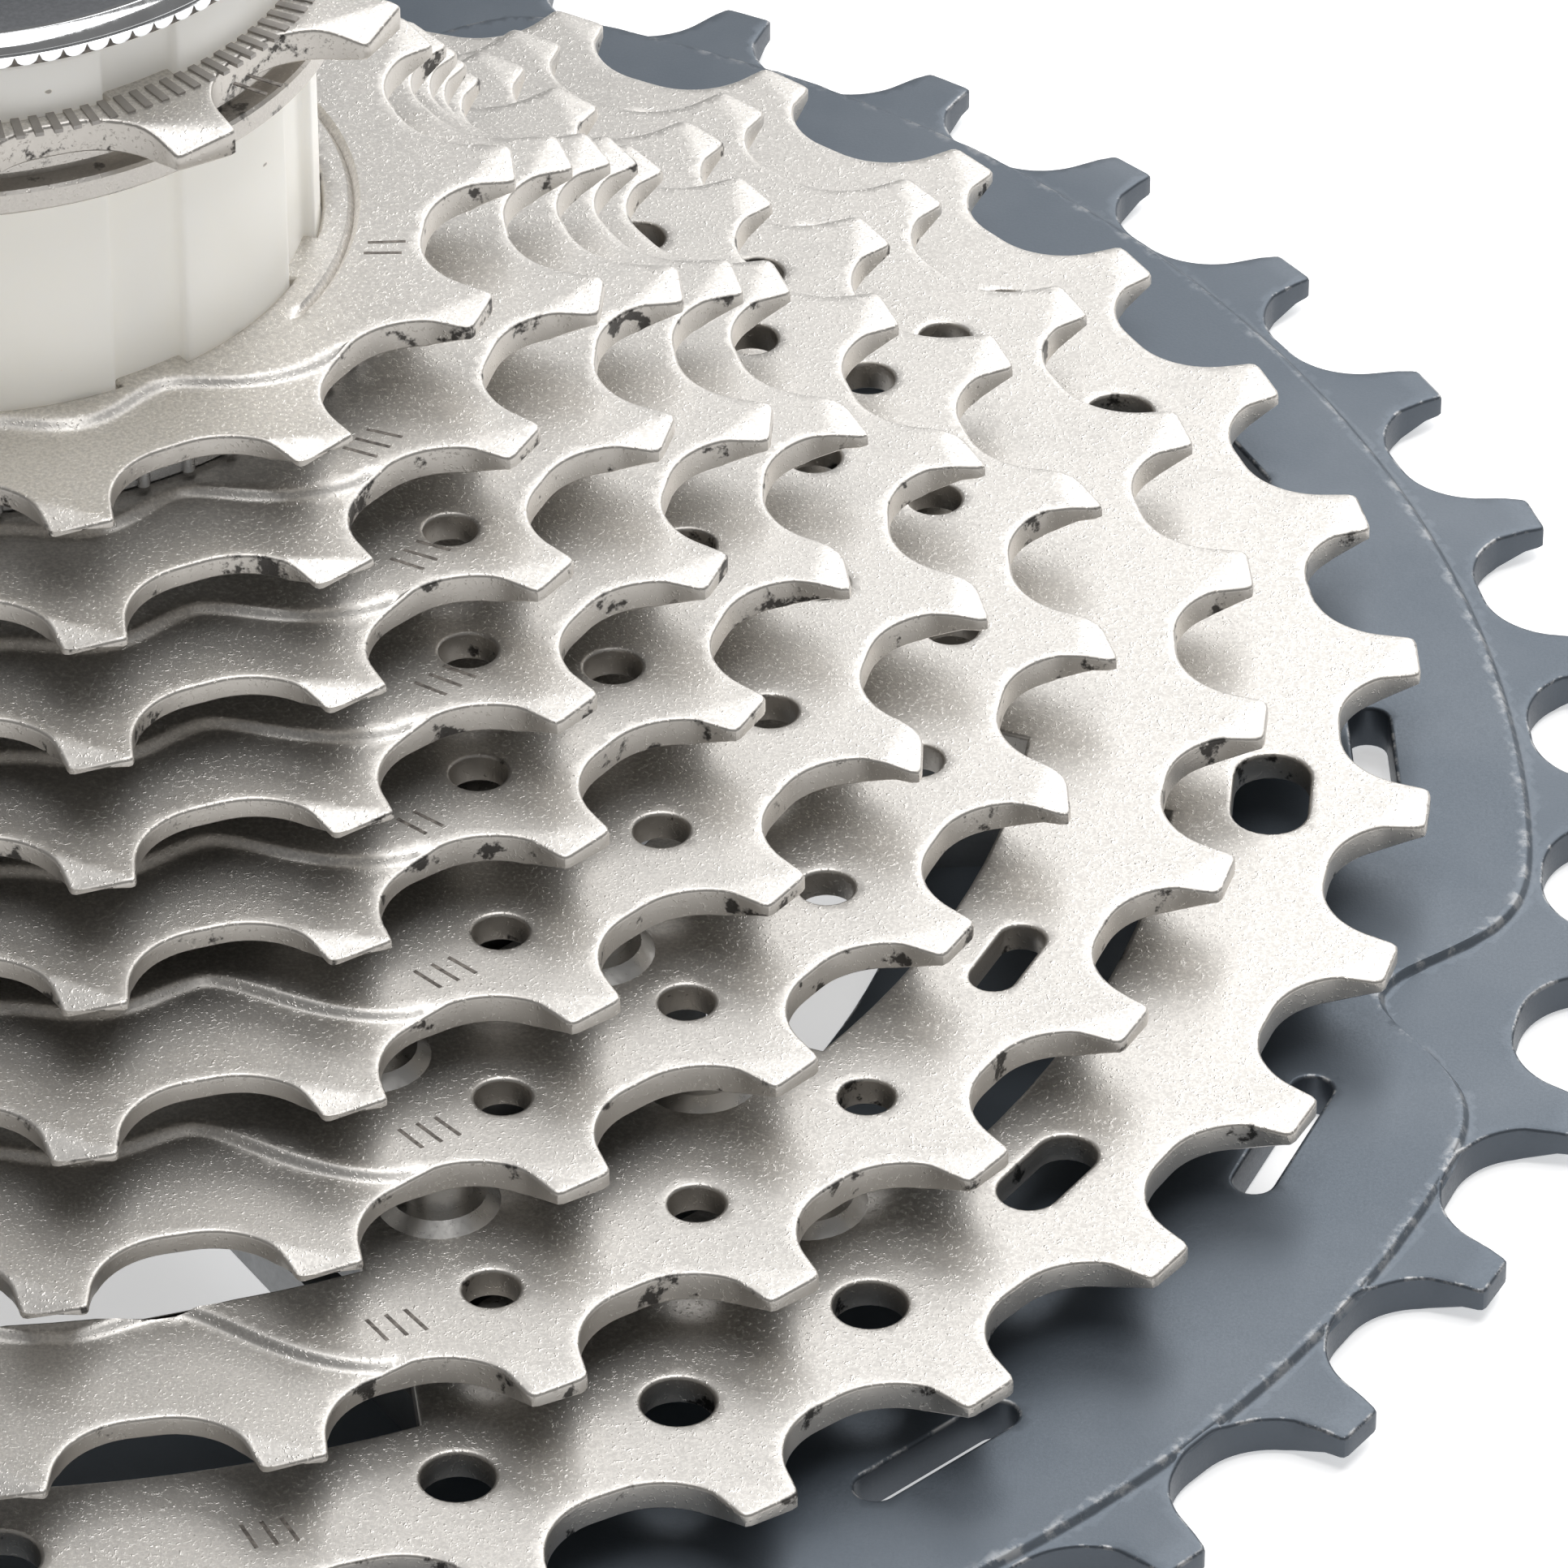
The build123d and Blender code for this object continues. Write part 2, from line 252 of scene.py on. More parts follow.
def toObject(name, points, faces, material, attributes=(), sharp=42):
    mesh = bpy.data.meshes.new(name)
    mesh.from_pydata([tuple(p) for p in np.asarray(points, float) * mm], [], faces)
    for key, values in dict(attributes).items():
        layer = mesh.attributes.new(key, "FLOAT", "POINT")
        layer.data.foreach_set("value", np.asarray(values, np.float32))
    mesh.materials.append(material)
    mesh.shade_smooth()
    mesh.set_sharp_from_angle(angle=radians(sharp))
    piece = bpy.data.objects.new(name, mesh)
    bpy.context.scene.collection.objects.link(piece)
    return piece


def inset(loop, distance):
    # moves a closed loop to its left, which is into the metal
    after = np.roll(loop, -1, axis=0) - loop
    after /= np.linalg.norm(after, axis=1)[:, None]
    before = np.roll(after, 1, axis=0)
    normal = np.stack((-(after + before)[:, 1], (after + before)[:, 0]), axis=1)
    normal /= np.maximum(np.linalg.norm(normal, axis=1), 1e-9)[:, None]
    lean = np.clip(normal[:, 0] * -after[:, 1] + normal[:, 1] * after[:, 0], 0.75, 1)
    return loop + normal * (distance / lean)[:, None]


def circle(radius, count, centre=(0, 0)):
    # clockwise, as every hole runs
    turns = np.arange(count) * (-2 * pi / count)
    return np.stack((np.cos(turns), np.sin(turns)), axis=1) * radius + np.asarray(centre)


def gridPoints(inner, outer, spacing):
    # a hexagonal net over a ring
    rows = int(outer / spacing / 0.866) + 1
    columns = int(outer / spacing) + 1
    y, x = np.mgrid[-rows:rows + 1, -columns:columns + 1].astype(float)
    x = (x + 0.5 * (y % 2)) * spacing
    y = y * spacing * 0.866
    radius = np.hypot(x, y)
    keep = (radius > inner) & (radius < outer)
    return np.stack((x[keep], y[keep]), axis=1)


def fill(loops, extra, lines, clear=0.2):
    # triangles over the metal between closed loops, through extra points and along lines
    border = np.concatenate(loops)
    tree = KDTree(len(border) + sum(len(line) for line in lines))
    for index, point in enumerate(list(border) + [p for line in lines for p in line]):
        tree.insert((point[0], point[1], 0), index)
    tree.balance()
    extra = [p for p in extra if tree.find((p[0], p[1], 0))[2] > clear]
    points, edges, start = [], [], 0
    for loop in loops:
        count = len(loop)
        points += [Vector(p) for p in loop]
        edges += [(start + i, start + (i + 1) % count) for i in range(count)]
        start += count
    for line in lines:
        points += [Vector(p) for p in line]
        edges += [(start + i, start + i + 1) for i in range(len(line) - 1)]
        start += len(line)
    points += [Vector(p) for p in extra]
    found = delaunay_2d_cdt(points, edges, [], 1, 1e-5)
    place = {}
    for index, origins in enumerate(found[3]):
        for origin in origins:
            place[origin] = index
    spots = np.array([tuple(p) for p in found[0]])
    faces = np.array(found[2])
    middles = spots[faces].mean(axis=1)
    keep = np.ones(len(faces), bool)
    for hole in loops[1:]:
        keep &= ~insideLoop(hole, middles)
    faces = faces[keep]
    used = np.unique(faces)
    renumber = np.full(len(spots), -1)
    renumber[used] = np.arange(len(used))
    border = np.array([renumber[place[i]] for i in range(len(np.concatenate(loops)))])
    return spots[used], renumber[faces], border


def insideLoop(loop, points):
    low, high = loop.min(axis=0), loop.max(axis=0)
    near = np.all((points > low) & (points < high), axis=1)
    result = np.zeros(len(points), bool)
    chosen = points[near]
    odd = np.zeros(len(chosen), bool)
    for a, b in zip(loop, np.roll(loop, -1, axis=0)):
        crosses = (a[1] > chosen[:, 1]) != (b[1] > chosen[:, 1])
        if not crosses.any():
            continue
        at = a[0] + (chosen[:, 1] - a[1]) * (b[0] - a[0]) / (b[1] - a[1] or 1e-12)
        odd ^= crosses & (chosen[:, 0] < at)
    result[near] = odd
    return result


def makePlate(name, loops, top, bottom, material, net=(), lines=(), rim=0.2, foot=0.14, wear=None):
    # a plate with rounded upper edges, bevelled lower ones and a shaped top
    turns = [radians(turn) for turn in (0, 30, 60, 90)]
    profile = [(rim * (1 - sin(turn)), rim * (1 - cos(turn))) for turn in turns]
    upper, upperFaces, upperBorder = fill([inset(loop, rim) for loop in loops], net, lines)
    lower, lowerFaces, lowerBorder = fill([inset(loop, foot) for loop in loops], (), ())
    points = [np.column_stack((upper, top(upper[:, 0], upper[:, 1])))]
    cut = [np.zeros(len(upper))]
    edge = [np.zeros(len(upper)) if wear is None else wear(upper[:, 0], upper[:, 1])]
    faces = [tuple(f) for f in upperFaces]
    inner = np.concatenate([inset(loop, rim) for loop in loops])
    height = top(inner[:, 0], inner[:, 1])
    outline = np.concatenate(loops)
    base = bottom(outline[:, 0], outline[:, 1])
    rows, total = [upperBorder], len(upper)
    rounds = list(zip(profile[1:], ((0.5, 1.0), (1.0, 0.4), (1.0, 0.0)))) + [((0, None), (1.0, 0.0))]
    for (sideways, down), (cutMark, edgeMark) in rounds:
        place = np.concatenate([inset(loop, sideways) for loop in loops])
        level = base + foot if down is None else height - down
        points.append(np.column_stack((place, level)))
        cut.append(np.full(len(place), cutMark))
        edge.append(np.full(len(place), edgeMark))
        rows.append(np.arange(total, total + len(place)))
        total += len(place)
    points.append(np.column_stack((lower, bottom(lower[:, 0], lower[:, 1]))))
    cut.append(np.zeros(len(lower)))
    edge.append(np.zeros(len(lower)))
    faces += [tuple(int(total + i) for i in f[::-1]) for f in lowerFaces]
    rows.append(lowerBorder + total)
    start = 0
    for loop in loops:
        here = np.arange(start, start + len(loop))
        after = np.roll(here, -1)
        start += len(loop)
        for above, below in zip(rows, rows[1:]):
            quads = np.stack((above[here], below[here], below[after], above[after]), axis=1)
            faces += [tuple(q) for q in quads.tolist()]
    faces = [tuple(int(i) for i in f) for f in faces]
    marks = {"cut": np.concatenate(cut), "edge": np.concatenate(edge)}
    return toObject(name, np.concatenate(points), faces, material, marks)


def makeLathe(name, profile, materials, count=120, bands=(), sharp=30):
    # a closed profile of (radius, height) turned about the axis; bands give each stretch's material
    turns = np.arange(count) * 2 * pi / count
    points, faces = [], []
    for radius, height in profile:
        points += [(radius * cos(t), radius * sin(t), height) for t in turns]
    size = len(profile)
    for row in range(size):
        below, above = row * count, (row + 1) % size * count
        for i in range(count):
            j = (i + 1) % count
            faces.append((below + i, below + j, above + j, above + i))
    piece = toObject(name, points, faces, materials[0], sharp=sharp)
    for extra in materials[1:]:
        piece.data.materials.append(extra)
    for row, index in bands:
        for i in range(count):
            piece.data.polygons[row * count + i].material_index = index
    return piece


def makeRingTree(name, item):
    # copies of one small item on a ring or an arc; every size is a named input
    tree = bpy.data.node_groups.new(name, "GeometryNodeTree")
    tree.interface.new_socket("Geometry", in_out="OUTPUT", socket_type="NodeSocketGeometry")
    sockets = {}
    for label in ("Count", "Radius", "Height", "Start", "Step", "Along", "Across", "Tall", "Turn"):
        kind = "NodeSocketInt" if label == "Count" else "NodeSocketFloat"
        sockets[label] = tree.interface.new_socket(label, in_out="INPUT", socket_type=kind).identifier
    sockets["Material"] = tree.interface.new_socket(
        "Material", in_out="INPUT", socket_type="NodeSocketMaterial").identifier
    put, link = tree.nodes.new, tree.links.new
    given, result = put("NodeGroupInput"), put("NodeGroupOutput")

    def maths(operation, *values):
        return feed(tree, addNode(tree, "ShaderNodeMath", operation=operation), *values)

    def vector(x, y, z):
        return feed(tree, put("ShaderNodeCombineXYZ"), x, y, z)

    index = put("GeometryNodeInputIndex").outputs[0]
    angle = maths("ADD", given.outputs["Start"], maths("MULTIPLY", index, given.outputs["Step"]))
    x = maths("MULTIPLY", maths("COSINE", angle), given.outputs["Radius"])
    y = maths("MULTIPLY", maths("SINE", angle), given.outputs["Radius"])
    points = put("GeometryNodePoints")
    link(given.outputs["Count"], points.inputs["Count"])
    link(vector(x, y, given.outputs["Height"]), points.inputs["Position"])
    copies = put("GeometryNodeInstanceOnPoints")
    link(points.outputs[0], copies.inputs["Points"])
    link(item(tree), copies.inputs["Instance"])
    turned = put("FunctionNodeEulerToRotation")
    link(vector(0.0, 0.0, maths("ADD", angle, given.outputs["Turn"])), turned.inputs[0])
    link(turned.outputs[0], copies.inputs["Rotation"])
    size = vector(given.outputs["Along"], given.outputs["Across"], given.outputs["Tall"])
    link(size, copies.inputs["Scale"])
    real, painted = put("GeometryNodeRealizeInstances"), put("GeometryNodeSetMaterial")
    link(copies.outputs[0], real.inputs[0])
    link(real.outputs[0], painted.inputs["Geometry"])
    link(given.outputs["Material"], painted.inputs["Material"])
    link(painted.outputs[0], result.inputs[0])
    return tree, sockets


def blockItem(tree):
    # a unit block with its upper edges drawn in, so that it reads as a cast tooth
    cube = tree.nodes.new("GeometryNodeMeshCube")
    lift = tree.nodes.new("GeometryNodeExtrudeMesh")
    normal = tree.nodes.new("GeometryNodeInputNormal")
    split = tree.nodes.new("ShaderNodeSeparateXYZ")
    up = tree.nodes.new("FunctionNodeCompare")
    up.inputs["B"].default_value = 0.5
    scale = tree.nodes.new("GeometryNodeScaleElements")
    scale.inputs["Scale"].default_value = 0.6
    lift.inputs["Offset Scale"].default_value = 0.12
    link = tree.links.new
    link(normal.outputs[0], split.inputs[0])
    link(split.outputs[2], up.inputs["A"])
    link(cube.outputs[0], lift.inputs["Mesh"])
    link(up.outputs[0], lift.inputs["Selection"])
    link(lift.outputs["Mesh"], scale.inputs["Geometry"])
    link(lift.outputs["Top"], scale.inputs["Selection"])
    return scale.outputs[0]


def postItem(tree):
    # a unit post that stands along the axis
    post = tree.nodes.new("GeometryNodeMeshCylinder")
    post.inputs["Vertices"].default_value = 12
    post.inputs["Radius"].default_value = 0.5
    post.inputs["Depth"].default_value = 1.0
    return post.outputs["Mesh"]


def rivetItem(tree):
    # a shank, a low cone of a head and the pressed ring on top
    parts = []
    stages = ((0.55, 0.55, 1.0, -0.5), (1.0, 0.78, 0.16, 0.0), (0.52, 0.42, 0.08, 0.13))
    for radius, topRadius, depth, height in stages:
        cone = tree.nodes.new("GeometryNodeMeshCone")
        cone.inputs["Vertices"].default_value = 32
        cone.inputs["Radius Bottom"].default_value = radius
        cone.inputs["Radius Top"].default_value = topRadius
        cone.inputs["Depth"].default_value = depth
        place = tree.nodes.new("GeometryNodeTransform")
        place.inputs["Translation"].default_value = (0, 0, height)
        tree.links.new(cone.outputs["Mesh"], place.inputs["Geometry"])
        parts.append(place.outputs[0])
    join = tree.nodes.new("GeometryNodeJoinGeometry")
    for part in parts:
        tree.links.new(part, join.inputs[0])
    return join.outputs[0]


ringTrees = {name: makeRingTree(name, item) for name, item in
             (("blocks", blockItem), ("posts", postItem), ("rivetHeads", rivetItem))}


def makeRing(name, kind, material, **values):
    # runs a ring tree once and keeps the plain mesh; angles in degrees, lengths in millimetres
    tree, sockets = ringTrees[kind]
    holder = bpy.data.objects.new(name, bpy.data.meshes.new(name))
    bpy.context.scene.collection.objects.link(holder)
    modifier = holder.modifiers.new("ring", "NODES")
    modifier.node_group = tree
    values.setdefault("Turn", 0)
    for label, value in values.items():
        if label == "Count":
            modifier[sockets[label]] = int(value)
        elif label in ("Start", "Step", "Turn"):
            modifier[sockets[label]] = float(radians(value))
        else:
            modifier[sockets[label]] = float(value * mm)
    modifier[sockets["Material"]] = material
    ready = holder.evaluated_get(bpy.context.evaluated_depsgraph_get())
    mesh = bpy.data.meshes.new_from_object(ready)
    holder.modifiers.remove(modifier)
    holder.data = mesh
    mesh.shade_smooth()
    mesh.set_sharp_from_angle(angle=radians(35))
    return holder


def joinPieces(name, pieces):
    # several meshes of one body as one piece
    bpy.ops.object.select_all(action="DESELECT")
    for piece in pieces:
        piece.select_set(True)
    bpy.context.view_layer.objects.active = pieces[0]
    bpy.ops.object.join()
    pieces[0].name = name
    return pieces[0]


def keep(piece, node, slot, extra=False):
    # hands a finished piece to the frame
    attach(piece, bodyOf[node])
    if not extra:
        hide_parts(node)
    return piece


def smooth(value):
    value = np.clip(value, 0, 1)
    return value * value * (3 - 2 * value)


teethForm = {
    "chainPitch": 12.7, "seatRadius": 4.1, "seatBack": -0.45, "seatDrive": 0.8, "seatDepth": 0.1,
    "backLean": 20, "driveLean": 28, "tipRise": 0.3,
    "sample": 0.4,
}


def pitchRadius(teeth):
    return teethForm["chainPitch"] / (2 * sin(pi / teeth))


def alongLine(a, b, step):
    count = max(1, round(float(np.linalg.norm(b - a)) / step))
    return [a + (b - a) * i / count for i in range(count)]


def gulletPoints(teeth, angle):
    # from the end of one flank to the start of the next
    across, outward = polar(1, angle + 90), polar(1, angle)
    reach = pitchRadius(teeth) - teethForm["seatDepth"]
    points = []
    for shift, low, high in (
        (teethForm["seatBack"], teethForm["backLean"] - 90, 0),
        (teethForm["seatDrive"], 0, 90 - teethForm["driveLean"]),
    ):
        centre = outward * reach + across * shift
        count = max(4, round(radians(high - low) * teethForm["seatRadius"] / teethForm["sample"]))
        for turn in np.linspace(low, high, count + 1):
            bow = across * sin(radians(turn)) - outward * cos(radians(turn))
            points.append(centre + bow * teethForm["seatRadius"])
    return points


# each kind of tooth: where its back and its drive corner lie, along and above; then their rounding
tips = {
    "plain": (-1.45, 0.0, 1.25, 0.0),
    "facet": (-1.35, -0.5, 1.6, -0.05),
    "narrow": (-1.4, -0.15, 1.5, -0.05),
    "hook": (-1.6, 0.8, 1.2, -0.2),
}
corners = {"plain": 0.3, "facet": 0.25, "narrow": 0.4, "hook": 0.55}


def tipCorners(teeth, angle, kind, rise):
    # both corners of a tooth's tip: the one at the lower angle comes first
    radius = pitchRadius(teeth)
    back, backRise, drive, driveRise = tips[kind]
    return (
        polar(radius + rise + backRise, angle + degrees(back / radius)),
        polar(radius + rise + driveRise, angle + degrees(drive / radius)),
    )


def roundCorner(before, corner, after, size):
    a = corner + (before - corner) / np.linalg.norm(before - corner) * size
    b = corner + (after - corner) / np.linalg.norm(after - corner) * size
    return [a, 0.25 * a + 0.5 * corner + 0.25 * b, b]


def toothOutline(teeth, phase, kinds, rise):
    step = 360 / teeth
    points = []
    for tooth in range(teeth):
        angle = phase + tooth * step
        first, last = tipCorners(teeth, angle, kinds[tooth], rise)
        nextFirst = tipCorners(teeth, angle + step, kinds[(tooth + 1) % teeth], rise)[0]
        gullet = gulletPoints(teeth, angle + step / 2)
        before = gulletPoints(teeth, angle - step / 2)[-1]
        size, nextSize = corners[kinds[tooth]], corners[kinds[(tooth + 1) % teeth]]
        start = roundCorner(before, first, last, size)
        end = roundCorner(first, last, gullet[0], size)
        points += start[:2] + alongLine(start[2], end[0], teethForm["sample"])
        points += end[:2] + alongLine(end[2], gullet[0], teethForm["sample"])
        points += gullet[:-1]
        stop = nextFirst + (gullet[-1] - nextFirst) / np.linalg.norm(gullet[-1] - nextFirst) * nextSize
        points += alongLine(gullet[-1], stop, teethForm["sample"])
    return np.array(points)


def toothPlaces(teeth, phase, x, y):
    # for each point its tooth, how far it lies along the pitch circle from it, and above the circle
    step = 360 / teeth
    radius = np.hypot(x, y)
    turn = (np.degrees(np.arctan2(y, x)) - phase) / step
    tooth = np.round(turn)
    along = np.radians((turn - tooth) * step) * radius
    return tooth.astype(int) % teeth, along, radius - pitchRadius(teeth)


plainFacet = {"slope": 0.22, "start": -1.3}
facets = {
    # a crease through (along, above) in a direction, and the slope beyond it
    "facet": (-3.0, -3.35, 0.795, 0.608, 0.44),
    "narrow": (-1.1, -1.9, 0.822, 0.569, 0.13),
    "hook": (-2.2, -0.5, 0.94, -0.34, 0.18),
}


def facetDrop(kind, along, above):
    if kind == "plain":
        return plainFacet["slope"] * np.maximum(0, above - plainFacet["start"])
    t, y, dx, dy, slope = facets[kind]
    beyond = dx * (above - y) - dy * (along - t)
    return slope * np.maximum(0, np.minimum(beyond, above - y + 0.25))


recess = {
    "depth": 0.45, "slope": 0.8, "low": 4.85, "rise": 10.5, "wave": 0.55, "waveShift": 16.5,
    "teeth": 4,
}


def recessLine(teeth, far, along):
    # where the wavy edge of a lowered band runs, above the pitch circle
    length = radians(recess["teeth"] * 360 / teeth) * pitchRadius(teeth)
    share = smooth(along / recess["rise"]) * smooth((length - along) / recess["rise"])
    wave = recess["wave"] * np.cos(2 * pi * (along - recess["waveShift"]) / teethForm["chainPitch"])
    return -recess["low"] - (far - recess["low"]) * share + wave * share, length


def recessDrop(teeth, end, far, x, y):
    # how far each point lies into the lowered band behind one group of teeth
    pitch = pitchRadius(teeth)
    along = np.radians((end - np.degrees(np.arctan2(y, x))) % 360) * pitch
    line, length = recessLine(teeth, far, along)
    inside = (along > 0) & (along < length)
    share = smooth((np.hypot(x, y) - pitch - line) / recess["slope"])
    return np.where(inside, recess["depth"] * share, 0)


def ringLines(radii, angles):
    # lines of mesh edges that keep a step crisp
    return [np.array([polar(radius, angle) for radius, angle in zip(row, angles)]) for row in radii]


# teeth: first tooth's angle, the right end of a lowered band and its depth behind the teeth,
# hole circle, hole size and where the holes start
sprockets = {
    13: {"phase": 10.56, "end": -31.0, "far": 8.4, "bore": 17.35},
    15: {"phase": 22.73, "end": -37.3, "far": 9.2, "bore": 17.35},
    17: {"phase": 10.26, "end": -42.7, "far": 9.4, "bore": 17.35,
         "circle": 28.5, "hole": 1.27, "start": -32.1},
    19: {"phase": 0.14, "end": -47.2, "far": 9.8, "bore": 17.35,
         "circle": 31.8, "hole": 1.38, "start": -37.8},
    21: {"phase": 8.49, "end": -51.5, "far": 10.2, "bore": 17.35,
         "circle": 35.2, "hole": 1.38, "start": -42.9},
    24: {"phase": 11.04, "end": -56.5, "far": 10.9, "inner": 27.0,
         "circle": 41.3, "hole": 1.32, "start": -49.0},
    27: {"phase": 12.11, "end": -61.2, "far": 11.2, "inner": 38.3,
         "circle": 47.5, "hole": 1.32, "start": -54.6},
    31: {"phase": 9.38, "end": -65.8, "far": 11.2, "inner": 51.5,
         "circle": 55.3, "hole": 1.32, "start": -60.3},
    35: {"phase": 6.85, "end": None, "far": 0, "inner": 58.5,
         "circle": 62.6, "hole": 1.72, "start": -65.2},
    40: {"phase": 1.93, "end": None, "far": 0, "inner": 46.0, "rise": 0.75},
}
netSize = 0.5
arms = {"count": 6, "angle": 10, "halfAngle": 15, "taper": 2}
tabInner = {24: 27.0, 27: 38.3, 31: 46.0, 35: 52.0, 40: 46.0}
splines = {"count": 9, "angle": -12.5, "width": 3.7, "floor": 16.3}


def innerLoop(teeth):
    # the bore of a loose sprocket, or the inside of a ring with its riveted tabs, clockwise
    data = sprockets[teeth]
    if "bore" in data:
        return splineLoop(data["bore"], splines["floor"], splines["width"])[::-1]
    inner, tab = data["inner"], tabInner[teeth]
    if tab >= inner:
        return circle(inner, 180)
    angles, radii = [], []
    for arm in range(arms["count"]):
        middle = arms["angle"] + arm * 360 / arms["count"]
        half, lean = arms["halfAngle"], arms["taper"]
        for turn in np.linspace(-half + lean, half - lean, 14):
            angles.append(middle + turn)
            radii.append(tab)
        for turn in np.linspace(half, 360 / arms["count"] - half, 14):
            angles.append(middle + turn)
            radii.append(inner)
    points = [polar(radius, angle) for radius, angle in zip(radii, angles)]
    return np.array(points)[::-1]


def splineLoop(outer, floor, width):
    # a circle with inward tabs, or with grooves when it is an outside; anticlockwise
    points = []
    step = 360 / splines["count"]
    half = degrees(width / 2 / outer)
    low = degrees(width / 2 / floor)
    for index in range(splines["count"]):
        middle = splines["angle"] + index * step
        points += [polar(floor, middle + turn) for turn in np.linspace(-low, low, 6)]
        points += [polar(outer, middle + turn) for turn in np.linspace(half, step - half, 20)]
    return np.array(points)


def slotLoop(circleRadius, angle, reach, radius):
    # a long hole across the radius, clockwise
    outward, across = polar(1, angle), polar(1, angle + 90)
    middle = outward * circleRadius
    turns = np.radians(np.linspace(0, 180, 13))
    upper = [middle + across * (reach / 2 + radius * sin(t)) + outward * radius * cos(t) for t in turns]
    lower = [middle - across * (reach / 2 + radius * sin(t)) - outward * radius * cos(t) for t in turns]
    return np.array(upper + lower)[::-1]


slots = {"circle": 68.6, "length": 9.6, "width": 2.0, "start": -45.5,
         "gaps": [24.2, 25.4, 24.4] + [26.0] * 11}


def holeLoops(teeth):
    data = sprockets[teeth]
    loops = []
    if teeth == 40:
        angle = slots["start"]
        for gap in slots["gaps"]:
            reach = slots["length"] - slots["width"]
            loops.append(slotLoop(slots["circle"], angle, reach, slots["width"] / 2))
            angle += gap
        return loops
    if "circle" not in data:
        return loops
    for tooth in range(teeth):
        angle = data["start"] + tooth * 360 / teeth + 0.4
        place = tooth % 9
        if teeth != 35 and tooth >= teeth - 4:
            continue
        if teeth in (17, 19) and tooth % 4:
            continue
        if (teeth == 31 and tooth % 8 > 3) or (teeth == 35 and place in (4, 5, 7, 8)):
            continue
        if (teeth == 31 and tooth % 8 == 3) or (teeth == 35 and place == 3):
            loops.append(slotLoop(data["circle"], angle + 1.5, 3.2, data["hole"] * 0.85))
        elif teeth == 35 and place == 6:
            loops.append(slotLoop(data["circle"] + 0.7, angle, 2.8, data["hole"] + 0.15))
        else:
            loops.append(circle(data["hole"], 32, polar(data["circle"], angle)))
    return loops


def toothKind(teeth, angle):
    # which shape a tooth has, by where it stands
    angle = (angle + 180) % 360 - 180
    if teeth == 40:
        return "plain"
    if teeth == 35:
        return "narrow"
    data = sprockets[teeth]
    behind = (data["end"] - angle) % 360
    if behind < recess["teeth"] * 360 / teeth:
        return "facet"
    if -20 < angle < 14 and teeth in (21, 24, 27):
        return "hook"
    return "narrow"


# a fine groove round the 13-tooth sprocket's bore, outside its lowered band
lip = {"radius": 18.85, "width": 0.13, "depth": 0.42, "end": 114.0, "start": 358.0, "fade": 4}
underside = {"lift": 0.6, "start": -2.1, "width": 1.8}


